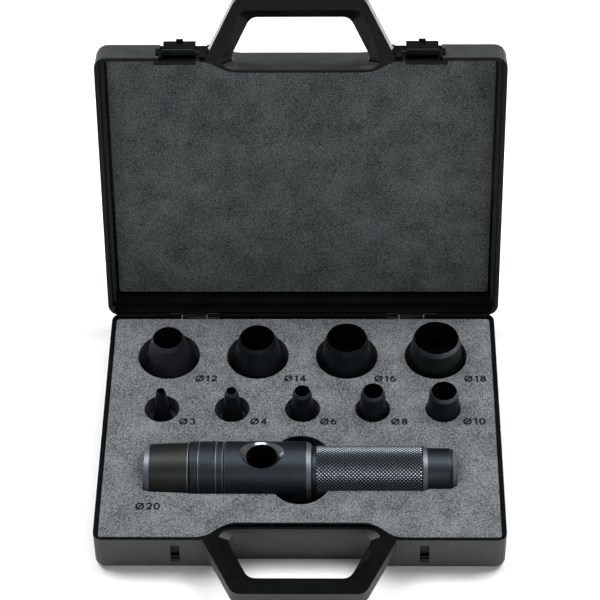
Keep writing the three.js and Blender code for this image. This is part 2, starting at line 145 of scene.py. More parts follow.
class Look:
    """A material and short ways to add nodes to it."""

    def __init__(self, name):
        self.material = bpy.data.materials.new(name)
        self.material.use_nodes = True
        self.tree = self.material.node_tree
        self.shader = self.tree.nodes["Principled BSDF"]
        self.place = self.add("TexCoord").outputs["Object"]

    def add(self, kind, **inputs):
        """A shader node with its inputs set or linked. Names may use _ for a space."""
        made = self.tree.nodes.new("ShaderNode" + kind)
        self.feed(made, **inputs)
        return made

    def feed(self, made, **inputs):
        """Sets or links a node's inputs."""
        for name, value in inputs.items():
            socket = made.inputs[int(name[1:])] if name[0] == "i" and name[1:].isdigit() else (
                made.inputs[name.replace("_", " ")])
            if isinstance(value, bpy.types.NodeSocket):
                self.tree.links.new(value, socket)
            else:
                socket.default_value = value

    def noise(self, scale, detail=2, roughness=0.5, vector=None):
        """Soft noise; scale is in features per metre."""
        made = self.add("TexNoise", Vector=vector or self.place, Scale=scale, Detail=detail,
                        Roughness=roughness)
        return made.outputs["Fac"]

    def ramp(self, factor, low, high, start, end):
        """A colour or grey that goes from start to end as factor goes from low to high."""
        made = self.add("ValToRGB", Fac=factor)
        stops = made.color_ramp.elements
        for stop, position, value in ((stops[0], low, start), (stops[1], high, end)):
            stop.position = position
            stop.color = (*value, 1) if isinstance(value, tuple) else (value, value, value, 1)
        return made.outputs["Color"]

    def sum(self, first, second, weight):
        """first plus weight times second."""
        made = self.add("Math", i0=second, i1=weight, i2=first)
        made.operation = "MULTIPLY_ADD"
        return made.outputs[0]

    def bump(self, height, distance, strength=1.0):
        """Surface relief of that depth in metres."""
        made = self.add("Bump", Height=height, Distance=distance, Strength=strength)
        self.feed(self.shader, Normal=made.outputs["Normal"])

    def along(self, axis, scale, detail=3):
        """Noise that changes only along one axis, as a lathe tool leaves it."""
        parts = self.add("SeparateXYZ", Vector=self.place)
        made = self.tree.nodes.new("ShaderNodeTexNoise")
        made.noise_dimensions = "1D"
        self.feed(made, W=parts.outputs[axis], Scale=scale, Detail=detail, Roughness=0.65)
        return made.outputs["Fac"]


def polished_plastic():
    """Black plastic from a polished part of the mould: rims, handles, latches and the inside."""
    look = Look("polished_plastic")
    wide = look.noise(60, 3)
    dark, light = (0.002, 0.0025, 0.003), (0.004, 0.0046, 0.0053)
    look.feed(look.shader, Base_Color=look.ramp(wide, 0.3, 0.7, dark, light))
    look.feed(look.shader, Roughness=look.ramp(look.noise(220, 4, 0.6), 0.3, 0.72, 0.1, 0.2))
    look.shader.inputs["Specular IOR Level"].default_value = 0.11
    look.bump(look.noise(900, 3, 0.6), 0.00002, 0.4)
    return look.material


def grained_plastic():
    """The same plastic with the fine spark-eroded grain of the outer walls."""
    look = Look("grained_plastic")
    grain = look.noise(2100, 3, 0.7)
    scuffs = look.sum(look.noise(130, 4, 0.65), grain, 0.5)
    dark, light = (0.008, 0.0102, 0.0106), (0.019, 0.023, 0.0238)
    look.feed(look.shader, Base_Color=look.ramp(scuffs, 0.45, 1.0, dark, light))
    look.feed(look.shader, Roughness=look.ramp(scuffs, 0.4, 1.0, 0.5, 0.66))
    look.shader.inputs["Specular IOR Level"].default_value = 0.5
    look.bump(grain, 0.00008, 0.6)
    return look.material


def foam(name, dark, light):
    """Closed-cell foam: fine cells, darker pits and a faint blotch."""
    look = Look(name)
    cells = look.noise(2300, 3, 0.75)
    blotch = look.noise(90, 3, 0.55)
    mixed = look.sum(cells, blotch, 0.2)
    look.feed(look.shader, Base_Color=look.ramp(mixed, 0.47, 0.74, dark, light))
    look.feed(look.shader, Roughness=look.ramp(cells, 0.3, 0.7, 0.98, 0.86))
    look.shader.inputs["Specular IOR Level"].default_value = 0.25
    look.bump(cells, 0.00035, 0.8)
    return look.material


def steel(name, axis, dark, light, rough=(0.4, 0.56)):
    """Turned steel, chemically blackened: tool marks round the axis and a faint tint in streaks along it; on
    the mounted head the brown of these streaks is a painted reflection.
    """
    look = Look(name)
    marks = look.along(axis, 1700)
    flecks = look.noise(1900, 3, 0.7)
    stretch = {"X": (9, 70, 70), "Z": (60, 60, 14)}[axis]
    long_way = look.add("Mapping", Vector=look.place, Scale=stretch).outputs["Vector"]
    tint = look.noise(1, 3, 0.55, long_way)
    mixed = look.sum(look.sum(tint, marks, 0.35), flecks, 0.3)
    look.feed(look.shader, Base_Color=look.ramp(mixed, 0.66, 1.0, dark, light))
    look.feed(look.shader, Roughness=look.ramp(look.sum(flecks, marks, 0.6), 0.55, 1.05, *rough))
    look.shader.inputs["Metallic"].default_value = 1.0
    look.bump(marks, 0.00002, 0.6)
    return look.material


def knurled_steel(name, axis_y, axis_z, crest, depth):
    """Diamond knurling: dull black in its grooves, worn bright on its points."""
    look = Look(name)
    parts = look.add("SeparateXYZ", Vector=look.place)
    away = [look.add("Math", i0=parts.outputs[i], i1=axis) for i, axis in ((1, axis_y), (2, axis_z))]
    for made in away:
        made.operation = "SUBTRACT"
    spoke = look.add("CombineXYZ", X=away[0].outputs[0], Y=away[1].outputs[0])
    radius = look.add("VectorMath", i0=spoke.outputs[0])
    radius.operation = "LENGTH"
    height = look.add("MapRange", Value=radius.outputs["Value"])
    look.feed(height, From_Min=crest - depth, From_Max=crest)
    worn = look.sum(height.outputs[0], look.noise(1200, 3, 0.6), 0.25)
    look.feed(look.shader, Base_Color=look.ramp(worn, 0.35, 1.0, (0.022, 0.026, 0.032), (0.36, 0.395, 0.44)))
    look.feed(look.shader, Roughness=look.ramp(worn, 0.4, 1.0, 0.44, 0.32))
    look.shader.inputs["Metallic"].default_value = 1.0
    return look.material


def ink():
    """Black screen printing ink, thin over the foam's cells."""
    look = Look("print_ink")
    cells = look.noise(2300, 3, 0.65)
    dark, light = (0.002, 0.002, 0.0025), (0.012, 0.0125, 0.013)
    look.feed(look.shader, Base_Color=look.ramp(cells, 0.35, 0.75, dark, light))
    look.feed(look.shader, Roughness=look.ramp(cells, 0.3, 0.7, 0.6, 0.8))
    look.shader.inputs["Specular IOR Level"].default_value = 0.1
    look.bump(cells, 0.0001, 0.5)
    return look.material


def floor_paper():
    """Pale seamless paper."""
    look = Look("floor_paper")
    look.feed(look.shader, Base_Color=look.ramp(look.noise(40, 3), 0.3, 0.7, 0.86, 0.9))
    look.feed(look.shader, Roughness=look.ramp(look.noise(300, 3), 0.3, 0.7, 0.85, 0.95))
    return look.material


POLISHED = polished_plastic()
GRAINED = grained_plastic()
BASE_FOAM = foam("base_foam", (0.012, 0.014, 0.015), (0.19, 0.207, 0.218))
# Painted shade: a far darker foam for the upright walls of the pockets.
POCKET_WALL_SHADE_FOAM = foam("pocket_wall_shade_foam", (0.003, 0.0035, 0.004), (0.04, 0.044, 0.047))
# Painted shade: the lid's foam is the base foam made darker, for the grazing light that reaches it.
LID_FOAM_SHADED = foam("lid_foam", (0.006, 0.0075, 0.008), (0.16, 0.18, 0.185))
BLUE_BLACK = ((0.012, 0.0155, 0.019), (0.036, 0.043, 0.05))
PURPLE_BLACK = ((0.022, 0.02, 0.03), (0.062, 0.056, 0.08))
GREEN_BLACK = ((0.014, 0.02, 0.0185), (0.036, 0.048, 0.044))
# Painted reflection: the brown in this palette stands in for a warm reflection streak along the mounted
# head.
BROWN_REFLECTION_BLACK = ((0.014, 0.019, 0.019), (0.045, 0.044, 0.04))
EDGE_GREY = ((0.04, 0.046, 0.058), (0.1, 0.11, 0.13))
HEAD_STEEL = steel("head_steel", "Z", *BLUE_BLACK)
HEAD_PURPLE = steel("head_steel_purple", "Z", *PURPLE_BLACK)
HEAD_GREEN = steel("head_steel_green", "Z", *GREEN_BLACK)
GROUND_STEEL = steel("ground_edge_steel", "Z", *EDGE_GREY)
PUNCH_STEEL = steel("punch_steel", "X", *BLUE_BLACK)
# The mounted head's brown streaks are a painted reflection.
MOUNTED_STEEL = steel("mounted_head_steel", "X", *BROWN_REFLECTION_BLACK)
GRIP_STEEL = knurled_steel("grip_steel", PUNCH_Y * MM, PUNCH_Z * MM, GRIP_R * MM, KNURL_DEPTH * MM)
RING_STEEL = steel("bare_ring_steel", "X", (0.11, 0.125, 0.14), (0.22, 0.24, 0.262), (0.4, 0.55))
SINK_STEEL = steel("countersink_steel", "Z", (0.5, 0.53, 0.57), (0.75, 0.78, 0.82), (0.16, 0.26))
# Painted shade: near-black, rough steel inside the bores, the punch's channel and its slug window.
BORE_SHADE_STEEL = steel("bore_painted_shade", "Z", (0.006, 0.006, 0.007), (0.014, 0.014, 0.015), (0.55, 0.75))
PIN_STEEL = steel("pin_steel", "X", (0.42, 0.42, 0.42), (0.56, 0.56, 0.55), (0.2, 0.35))
INK = ink()

# ---- Mesh helpers ----------------------------------------------------------------


def piece(name, verts, faces, materials, place=(0, 0, 0)):
    """A mesh object; verts in millimetres."""
    mesh = bpy.data.meshes.new(name)
    mesh.from_pydata([(x * MM, y * MM, z * MM) for x, y, z in verts], [], faces)
    made = bmesh.new()
    made.from_mesh(mesh)
    bmesh.ops.recalc_face_normals(made, faces=made.faces)
    made.to_mesh(mesh)
    made.free()
    obj = bpy.data.objects.new(name, mesh)
    obj.location = [value * MM for value in place]
    bpy.context.collection.objects.link(obj)
    for material in materials:
        mesh.materials.append(material)
    return obj


def soften(obj, angle=32):
    """Smooth shading that keeps flats flat and corners over angle sharp."""
    obj.data.shade_smooth()
    obj.data.set_sharp_from_angle(angle=math.radians(angle))
    weighted = obj.modifiers.new("weighted", "WEIGHTED_NORMAL")
    weighted.keep_sharp = True


def rounded(corners, closed, steps=4):
    """A profile with its corners rounded. Each corner is (radius from axis, height, fillet)."""
    points = []
    count = len(corners)
    for i, (r, z, fillet) in enumerate(corners):
        here = Vector((r, z))
        if fillet <= 0 or (not closed and i in (0, count - 1)):
            points.append((r, z))
            continue
        before = Vector(corners[i - 1][:2]) - here
        after = Vector(corners[(i + 1) % count][:2]) - here
        reach = min(fillet, before.length * 0.45, after.length * 0.45)
        start = here + before.normalized() * reach
        end = here + after.normalized() * reach
        for step in range(steps + 1):
            t = step / steps
            spot = start * (1 - t) ** 2 + here * 2 * t * (1 - t) + end * t ** 2
            points.append((spot.x, spot.y))
    return points


def turn(profile, segments, closed, relief=None):
    """Vertices and faces of a profile turned about Z. relief(height, turns) lifts the surface."""
    verts = []
    rings = []
    radii = {}
    for r, z in profile:
        if r < 1e-6:
            rings.append([len(verts)] * segments)
            verts.append((0, 0, z))
            continue
        rings.append(list(range(len(verts), len(verts) + segments)))
        for i in range(segments):
            turns = i / segments
            radius = r + (relief(z, turns) if relief else 0)
            radii[len(verts)] = radius
            angle = turns * 2 * math.pi
            verts.append((radius * math.cos(angle), radius * math.sin(angle), z))
    faces = []
    following = rings[1:] + (rings[:1] if closed else [])
    for low, high in zip(rings, following):
        for i in range(segments):
            j = (i + 1) % segments
            corner = list(dict.fromkeys([low[i], low[j], high[j], high[i]]))
            tilt = 0
            if relief and len(corner) == 4 and all(c in radii for c in corner):
                tilt = (radii[corner[0]] + radii[corner[2]]) - (radii[corner[1]] + radii[corner[3]])
            if abs(tilt) < 1e-3:
                faces.append(corner)
            elif tilt < 0:
                faces += [[corner[0], corner[1], corner[2]], [corner[0], corner[2], corner[3]]]
            else:
                faces += [[corner[1], corner[2], corner[3]], [corner[1], corner[3], corner[0]]]
    return verts, [face for face in faces if len(face) > 2]


def along_punch(verts):
    """Lays a turned shape along the punch's axis, with its height becoming x."""
    return [(z, PUNCH_Y - y, PUNCH_Z + x) for x, y, z in verts]


def paint(obj, index, test):
    """Gives the faces whose middle passes test(place) another material."""
    for polygon in obj.data.polygons:
        if test(polygon.center):
            polygon.material_index = index


def solid_mesh(obj, name):
    """obj's mesh with its modifiers applied, in place of the old one."""
    graph = bpy.context.evaluated_depsgraph_get()
    made = bpy.data.meshes.new_from_object(obj.evaluated_get(graph))
    obj.modifiers.clear()
    obj.data = made
    made.name = name


# ---- Cutting heads ---------------------------------------------------------------
# Outer profiles from the cutting edge back: (depth, radius, fillet).
OUTER = {
    12: [(1.8, 6.95, 0.3), (10.7, 9.25, 2.0), (16.4, 11.1, 0.4)],
    14: [(1.9, 7.95, 0.3), (10.7, 9.85, 2.0), (16.4, 11.2, 0.4)],
    16: [(2.0, 8.85, 0.3), (10.7, 10.25, 2.0), (16.4, 11.3, 0.4)],
    18: [(2.0, 9.75, 0.3), (10.7, 10.7, 2.0), (16.4, 11.4, 0.4)],
    20: [(2.0, 10.85, 0.3), (9.0, 11.2, 1.2), (16.4, 11.48, 0.3)],
    10: [(1.5, 5.75, 0.25), (10.7, 6.45, 0.5)],
    8: [(1.5, 4.75, 0.25), (10.7, 5.45, 0.8), (16.6, 6.4, 0.5)],
    6: [(1.5, 3.75, 0.25), (10.7, 4.5, 0.8), (16.6, 5.4, 0.5)],
    4: [(1.5, 2.75, 0.25), (10.7, 3.5, 0.8), (16.6, 4.4, 0.5)],
    3: [(1.4, 2.05, 0.2), (10.7, 3.0, 0.8), (16.6, 3.9, 0.5)],
}
EDGE_LAND = 0.08
FLANGE_R = 11.45  # the big heads at their widest, just above the shank
BORE_MARGIN = 1.002  # faces up to this much wider than the bore still belong to it


def head_profile(bore):
    """A head's closed profile as (radius, height above its foot)."""
    edge = bore / 2
    big = bore >= 12
    outer = [(edge + EDGE_LAND, HEAD_L, 0)]
    outer += [(radius, HEAD_L - depth, fillet) for depth, radius, fillet in OUTER[bore]]
    if big:
        outer += [(FLANGE_R, SHANK_L + 0.6, 0.4), (FLANGE_R, SHANK_L + 0.05, 0.25)]
        outer += [(SHANK_R - 0.2, SHANK_L, 0.1), (SHANK_R, SHANK_L - 0.8, 0.2)]
    elif bore < 10:
        outer += [(OUTER[bore][-1][1] + 0.05, SHANK_L + 0.05, 0.1), (SHANK_R - 0.2, SHANK_L, 0.15)]
        outer += [(SHANK_R, SHANK_L - 0.3, 0.15)]
    outer += [(SHANK_R, 0.5, 0.15), (SHANK_R - 0.5, 0.02, 0.15)]
    passage = min(edge + 0.25, CHANNEL_R)
    inner = [(passage + 0.15, 0.02, 0.1), (passage, 0.3, 0.1)]
    if big:
        inner += [(passage, SHANK_L + 3.5, 0.4), (edge + 0.2, SHANK_L + 3.6, 0.5)]
        inner += [(edge + 0.2, HEAD_L - 3.4, 0.3)]
    inner += [(edge, HEAD_L - 3, 0.3), (edge, HEAD_L, 0)]
    return rounded(outer + inner, closed=True)


def spare_head(bore, finish):
    """One loose head, standing in its pocket with its edge up."""
    segments = 128 if bore >= 12 else 80
    verts, faces = turn(head_profile(bore), segments, closed=True)
    x, y = middle(head_name(bore))
    bevel = finish if bore in (3, 12, 14, 16) else GROUND_STEEL
    obj = piece(f"head_{bore:02d}", verts, faces, [finish, bevel, BORE_SHADE_STEEL], (x, y, FOAM_BOTTOM))
    bevel_depth = OUTER[bore][0][0]
    lowest = (HEAD_L - bevel_depth) * MM
    edge = bore / 2 * MM
    paint(obj, 1, lambda c: c.z > lowest and math.hypot(c.x, c.y) > edge * BORE_MARGIN)
    # Painted shade: the bore and the passage below the edge get the near-black bore steel.
    paint(obj, 2, lambda c: math.hypot(c.x, c.y) < edge * BORE_MARGIN or (
        math.hypot(c.x, c.y) < edge + 0.3 * MM and c.z < (HEAD_L - 2.9) * MM))
    soften(obj)
    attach(obj, f"spare_{bore:02d}")
    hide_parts(head_name(bore))


for bore in SMALL_BORES + BIG_BORES:
    tone = {12: HEAD_PURPLE, 18: HEAD_GREEN}.get(bore, HEAD_STEEL)
    spare_head(bore, tone)

# ---- The punch -------------------------------------------------------------------


COLLAR_GROOVES = (-39.7, -32.9)
GROOVE_R = BODY_R - 0.36
MOUNTED_BORE_END = -50  # the bore's inside is looked for in front of this x


def mounted_head():
    """The largest head, screwed into the collar."""
    profile = [(r, HEAD_L - z + EDGE_X) for r, z in head_profile(20)]
    verts, faces = turn(profile, 160, closed=True)
    obj = piece("mounted_head", along_punch(verts), faces, [MOUNTED_STEEL, RING_STEEL, BORE_SHADE_STEEL])
    limit = (EDGE_X + OUTER[20][0][0]) * MM
    bore_r = 10.02 * MM
    foot = (COLLAR_FRONT - 0.75) * MM
    paint(obj, 1, lambda c: (c.x < limit or c.x > foot) and math.hypot(
        c.y - PUNCH_Y * MM, c.z - PUNCH_Z * MM) > bore_r)
    # Painted shade: the inside of the mounted head's bore gets the near-black bore steel.
    paint(obj, 2, lambda c: math.hypot(
        c.y - PUNCH_Y * MM, c.z - PUNCH_Z * MM) < bore_r and c.x < MOUNTED_BORE_END * MM)
    soften(obj)
    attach(obj, "mounted_head")
    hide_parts("head_20mm")


def collar():
    """The collar between head and handle, with two turned grooves."""
    socket = SHANK_R + 0.3
    seat = SPIGOT_R + 0.3
    web_front = COLLAR_FRONT + SHANK_L
    web_back = SPIGOT_END_X - 0.3
    corners = [(socket, COLLAR_FRONT, 0.1), (11.75, COLLAR_FRONT, 0.15), (BODY_R, COLLAR_FRONT + 0.9, 0.2)]
    for groove in COLLAR_GROOVES:
        corners += [(BODY_R, groove - 0.38, 0.08), (GROOVE_R, groove - 0.12, 0.08)]
        corners += [(GROOVE_R, groove + 0.12, 0.08), (BODY_R, groove + 0.38, 0.08)]
    corners += [(BODY_R, COLLAR_BACK - 0.35, 0.1), (BODY_R - 0.35, COLLAR_BACK, 0.1)]
    corners += [(seat, COLLAR_BACK, 0.1)]
    corners += [(seat, web_back, 0.1), (CHANNEL_R, web_back, 0.1), (CHANNEL_R, web_front, 0.1)]
    corners += [(socket, web_front, 0.1)]
    verts, faces = turn(rounded(corners, closed=True), 160, closed=True)
    obj = piece("collar", along_punch(verts), faces, [PUNCH_STEEL, RING_STEEL])
    bare = [(groove - 0.14, groove + 0.4) for groove in COLLAR_GROOVES]
    bare.append((COLLAR_BACK - 0.4, COLLAR_BACK + 0.1))
    paint(obj, 1, lambda c: any(start < c.x / MM < end for start, end in bare) and (
        math.hypot(c.y / MM - PUNCH_Y, c.z / MM - PUNCH_Z) > BODY_R - 0.5))
    soften(obj)
    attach(obj, "collar")
    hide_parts("head_collar")


def knurl(x, turns):
    """Height of the knurled surface above the bottom of its grooves."""
    if not GRIP_X[0] + 0.2 < x < GRIP_X[1] - 0.2:
        return 0
    around = turns * KNURL_AROUND
    length = (x - GRIP_X[0]) / KNURL_PITCH
    first = abs((around + length) % 2 - 1)
    second = abs((around - length) % 2 - 1)
    edge = min(1, (x - GRIP_X[0]) / 0.8, (GRIP_X[1] - x) / 0.8)
    return KNURL_DEPTH * edge * min(first, second)


def punch_handle():
    """Body, knurled grip and strike end in one piece, with the slug window cut down into it."""
    channel_end = SLUG_WINDOW_X + SLUG_WINDOW_R
    sink_r = 9.2  # how far the window's countersink reaches, and how deep
    sink_floor = 5.3
    start = COLLAR_BACK + 0.3
    front = [(CHANNEL_R, SPIGOT_END_X, 0.1), (SPIGOT_R - 0.3, SPIGOT_END_X, 0.15)]
    front += [(SPIGOT_R, SPIGOT_END_X + 0.4, 0.1)]
    front += [(SPIGOT_R, start, 0), (BODY_R - 0.35, start, 0.12), (BODY_R, start + 0.35, 0.15)]
    front += [(BODY_R, BODY_END_X, 0.5), (BODY_R - 1.15, BODY_END_X + 2.2, 0.3)]
    front += [(GRIP_R - 0.45, BODY_END_X + 2.5, 0.2), (GRIP_R - 0.45, GRIP_X[0] - 0.4, 0.15)]
    groove_r = GRIP_R - KNURL_DEPTH
    front += [(groove_r, GRIP_X[0], 0)]
    rows = math.floor((GRIP_X[1] - GRIP_X[0]) / KNURL_PITCH)
    grip = [(groove_r, GRIP_X[0] + KNURL_PITCH * row) for row in range(1, rows)]
    back = [(groove_r, GRIP_X[1], 0), (GRIP_R - 0.1, GRIP_X[1] + 0.05, 0)]
    back += [(TAIL_R + 0.05, GRIP_X[1] + 1.8, 0.1)]
    back += [(TAIL_R, TAIL_END_X - 3, 1.2), (TAIL_R - 0.7, TAIL_END_X - 1.4, 0.2)]
    back += [(TAIL_R - 1.9, TAIL_END_X, 0.2), (0, TAIL_END_X, 0)]
    bore = [(0, channel_end + 3, 0), (CHANNEL_R, channel_end, 0.2), (CHANNEL_R, SPIGOT_END_X, 0)]
    profile = rounded(front, False) + grip + rounded(back, False) + rounded(bore, False)[:-1]
    verts, faces = turn(profile, KNURL_AROUND, True, knurl)
    steels = [PUNCH_STEEL, GRIP_STEEL, SINK_STEEL, BORE_SHADE_STEEL, RING_STEEL]
    obj = piece("handle", along_punch(verts), faces, steels)
    top = PUNCH_Z + BODY_R
    cut = [(0, PUNCH_Z - 2, 0), (SLUG_WINDOW_R, PUNCH_Z - 2, 0), (SLUG_WINDOW_R, top - 2.6, 0.3)]
    cut += [(SLUG_WINDOW_R + 6.6, top + 4, 0), (0, top + 4, 0)]
    verts, faces = turn(rounded(cut, False), 96, False)
    cutter = piece("cutter", verts, faces, [PUNCH_STEEL], (SLUG_WINDOW_X, PUNCH_Y, 0))
    modifier = obj.modifiers.new("window", "BOOLEAN")
    modifier.operation = "DIFFERENCE"
    modifier.solver = "EXACT"
    modifier.object = cutter
    solid_mesh(obj, "handle")
    bpy.data.objects.remove(cutter)
    paint(obj, 1, lambda c: GRIP_X[0] * MM < c.x < GRIP_X[1] * MM)
    bare = [(BODY_END_X + 0.2, BODY_END_X + 2.1), (GRIP_X[1], GRIP_X[1] + 1.75)]
    bare += [(TAIL_END_X - 1.4, TAIL_END_X + 0.1), (start, start + 0.3)]
    paint(obj, 4, lambda c: any(low < c.x / MM < high for low, high in bare))

    def off_window(c):
        return math.hypot(c.x - SLUG_WINDOW_X * MM, c.y - PUNCH_Y * MM) / MM

    def off_axis(c):
        return math.hypot(c.y - PUNCH_Y * MM, c.z - PUNCH_Z * MM) / MM

    paint(obj, 2, lambda c: off_window(c) < sink_r and (
        sink_floor < off_axis(c) < BODY_R - 0.06 and c.z > PUNCH_Z * MM))
    # Painted shade: the slug window's wall and the channel get the near-black bore steel.
    paint(obj, 3, lambda c: off_window(c) < SLUG_WINDOW_R + 0.06 or off_axis(c) < CHANNEL_R + 0.1)
    soften(obj, 20)
    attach(obj, "punch")
    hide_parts("punch_handle")


mounted_head()
collar()
punch_handle()

# ---- Foam ------------------------------------------------------------------------


def arc(x, y, radius, start, end, steps):
    """Points round part of a circle, angles in turns."""
    span = end - start
    angles = [(start + span * i / steps) * 2 * math.pi for i in range(steps + 1)]
    return [(x + radius * math.cos(a), y + radius * math.sin(a)) for a in angles]


def curve(points, steps=12):
    """A quadratic or cubic Bezier through its control points, first end left out."""
    order = len(points) - 1
    spots = []
    for step in range(1, steps + 1):
        t = step / steps
        weights = [math.comb(order, k) * (1 - t) ** (order - k) * t ** k for k in range(order + 1)]
        spots.append(tuple(sum(w * p[axis] for w, p in zip(weights, points)) for axis in (0, 1)))
    return spots


def case_plan(half_w, half_back, half_front, corner, outer_x, inner_x, y):
    """A rounded rectangle whose front steps in behind the handle in two S-curves."""
    mid = (outer_x + inner_x) / 2
    points = [(-half_w + corner, half_back)]
    points += curve([points[-1], (-half_w, half_back), (-half_w, half_back - corner)])
    points += [(-half_w, -half_front + corner)]
    points += curve([points[-1], (-half_w, -half_front), (-half_w + corner, -half_front)])
    points += [(-outer_x, -half_front)]
    points += curve([points[-1], (-mid, -half_front), (-mid, y), (-inner_x, y)], 20)
    points += [(inner_x, y)]
    points += curve([points[-1], (mid, y), (mid, -half_front), (outer_x, -half_front)], 20)
    points += [(half_w - corner, -half_front)]
    points += curve([points[-1], (half_w, -half_front), (half_w, -half_front + corner)])
    points += [(half_w, half_back - corner)]
    points += curve([points[-1], (half_w, half_back), (half_w - corner, half_back)])
    return points


def slab(name, outlines, low, high, edge, material):
    """A flat foam piece from its outline and holes, with its edges rounded by edge."""
    data = bpy.data.curves.new(name, "CURVE")
    data.dimensions = "2D"
    data.fill_mode = "BOTH"
    for outline in outlines:
        spline = data.splines.new("POLY")
        spline.points.add(len(outline) - 1)
        for point, (x, y) in zip(spline.points, outline):
            point.co = (x * MM, y * MM, 0, 1)
        spline.use_cyclic_u = True
    data.bevel_depth = edge * MM
    data.bevel_resolution = 2
    data.offset = -edge * MM
    data.extrude = ((high - low) / 2 - edge) * MM
    drawn = bpy.data.objects.new(name, data)
    bpy.context.collection.objects.link(drawn)
    graph = bpy.context.evaluated_depsgraph_get()
    mesh = bpy.data.meshes.new_from_object(drawn.evaluated_get(graph))
    bpy.data.objects.remove(drawn)
    made = bmesh.new()
    made.from_mesh(mesh)
    bmesh.ops.remove_doubles(made, verts=made.verts, dist=1e-7)
    bmesh.ops.translate(made, verts=made.verts, vec=(0, 0, (low + high) / 2 * MM))
    bmesh.ops.recalc_face_normals(made, faces=made.faces)
    made.to_mesh(mesh)
    made.free()
    mesh.name = name
    mesh.materials.clear()
    mesh.materials.append(material)
    obj = bpy.data.objects.new(name, mesh)
    bpy.context.collection.objects.link(obj)
    soften(obj, 50)
    return obj


def punch_pocket():
    """The punch's trough joined with the thumb recess across it."""
    stadium_r = 11.8
    stadium_shift = 5.5
    clearance = 0.15
    steps = 600

    radii = [(EDGE_X - 0.4, 10.05), (EDGE_X + 2, 10.9), (EDGE_X + 17.2, 11.6), (EDGE_X + 18, BODY_R)]
    radii += [(BODY_END_X, BODY_R), (BODY_END_X + 2.2, BODY_R - 1.1)]
    radii += [(GRIP_X[0], GRIP_R), (GRIP_X[1], GRIP_R)]
    radii += [(GRIP_X[1] + 2, TAIL_R), (TAIL_END_X - 2.2, TAIL_R), (TAIL_END_X + 0.3, TAIL_R - 1.9)]

    def half_width(x):
        trough = 0
        for (x0, r0), (x1, r1) in zip(radii, radii[1:]):
            if x0 <= x <= x1:
                trough = r0 + (r1 - r0) * (x - x0) / (x1 - x0) + clearance
        across = stadium_shift + math.sqrt(max(0, stadium_r ** 2 - x ** 2)) if abs(x) <= stadium_r else 0
        return max(trough, across)

    start, end = radii[0][0], radii[-1][0]
    stations = [start + (end - start) * i / steps for i in range(steps + 1)]
    upper = [(x, half_width(x)) for x in stations]
    return [(x, PUNCH_Y + w) for x, w in upper] + [(x, PUNCH_Y - w) for x, w in reversed(upper)]


half_foam_w = (foam_high[0] - foam_low[0]) / 2
outlines = [case_plan(half_foam_w, foam_high[1], -foam_low[1], 1.8, 41, 23.5, -50.2), punch_pocket()]
for bore in BIG_BORES:
    outlines.append(arc(*middle(head_name(bore)), BIG_POCKET_R, 0, 1, 96)[:-1])
for bore in SMALL_BORES:
    outlines.append(arc(*middle(head_name(bore)), SMALL_POCKET_R, 0, 1, 64)[:-1])
insert = slab("foam_insert", outlines, FOAM_BOTTOM, FOAM_TOP, 0.25, BASE_FOAM)
# Upright walls, those of the pockets above all, are given a far darker foam than the face: painted shade on
# the pockets' walls.
insert.data.materials.append(POCKET_WALL_SHADE_FOAM)
for polygon in insert.data.polygons:
    polygon.material_index = int(abs(polygon.normal.z) < 0.3)
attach(insert, "case_base")
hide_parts("base_foam_insert")

# ---- Printed sizes ---------------------------------------------------------------
# Where each mark's left end and its middle line lie on the foam, before MARK_SHIFT.
MARK_PLACES = {
    3: (-49.2, 1.0), 4: (-20.8, 1.0), 6: (7.1, 1.0), 8: (35.3, 1.0), 10: (64.0, 1.2),
    12: (-43.6, 24.0), 14: (-7.7, 24.0), 16: (28.8, 24.0), 18: (65.2, 24.0), 20: (-64.1, -42.2),
}
MARK_H = 3.25
STROKE = 0.76
PRINT_T = 0.04
GAP_AFTER_SIGN = 0.35  # in heights
GAP_AFTER_DIGIT = 0.3
MARK_SHIFT = 0.7  # to the right, for every mark


def bow(x, y, rx, ry, start, end, steps=20):
    """Points along part of an ellipse, angles in degrees."""
    angles = [math.radians(start + (end - start) * i / steps) for i in range(steps + 1)]
    return [(x + rx * math.cos(a), y + ry * math.sin(a)) for a in angles]


# Each character as its width and the middle lines of its strokes, in heights.
CHARACTERS = {
    "sign": (0.92, [bow(0.46, 0, 0.42, 0.42, 0, 360), [(0.02, -0.45), (0.9, 0.45)]]),
    "0": (0.62, [bow(0.31, 0, 0.29, 0.42, 0, 360)]),
    "1": (0.38, [[(0.02, 0.26), (0.26, 0.42)], [(0.26, 0.5), (0.26, -0.5)]]),
    "2": (0.6, [bow(0.3, 0.16, 0.26, 0.26, 165, -35) + [(0.06, -0.4)], [(-0.02, -0.4), (0.62, -0.4)]]),
    "3": (0.58, [
        bow(0.27, 0.205, 0.24, 0.215, 155, -75),
        bow(0.27, -0.205, 0.27, 0.22, 75, -155),
    ]),
    "4": (0.66, [[(0.45, -0.5), (0.45, 0.5)], [(0.45, 0.42), (0.04, -0.2)], [(-0.02, -0.2), (0.7, -0.2)]]),
    "6": (0.62, [bow(0.31, -0.16, 0.27, 0.26, 0, 360), bow(0.46, -0.1, 0.42, 0.52, 178, 95)]),
    "8": (0.62, [bow(0.31, 0.21, 0.23, 0.2, 0, 360), bow(0.31, -0.2, 0.28, 0.22, 0, 360)]),
}


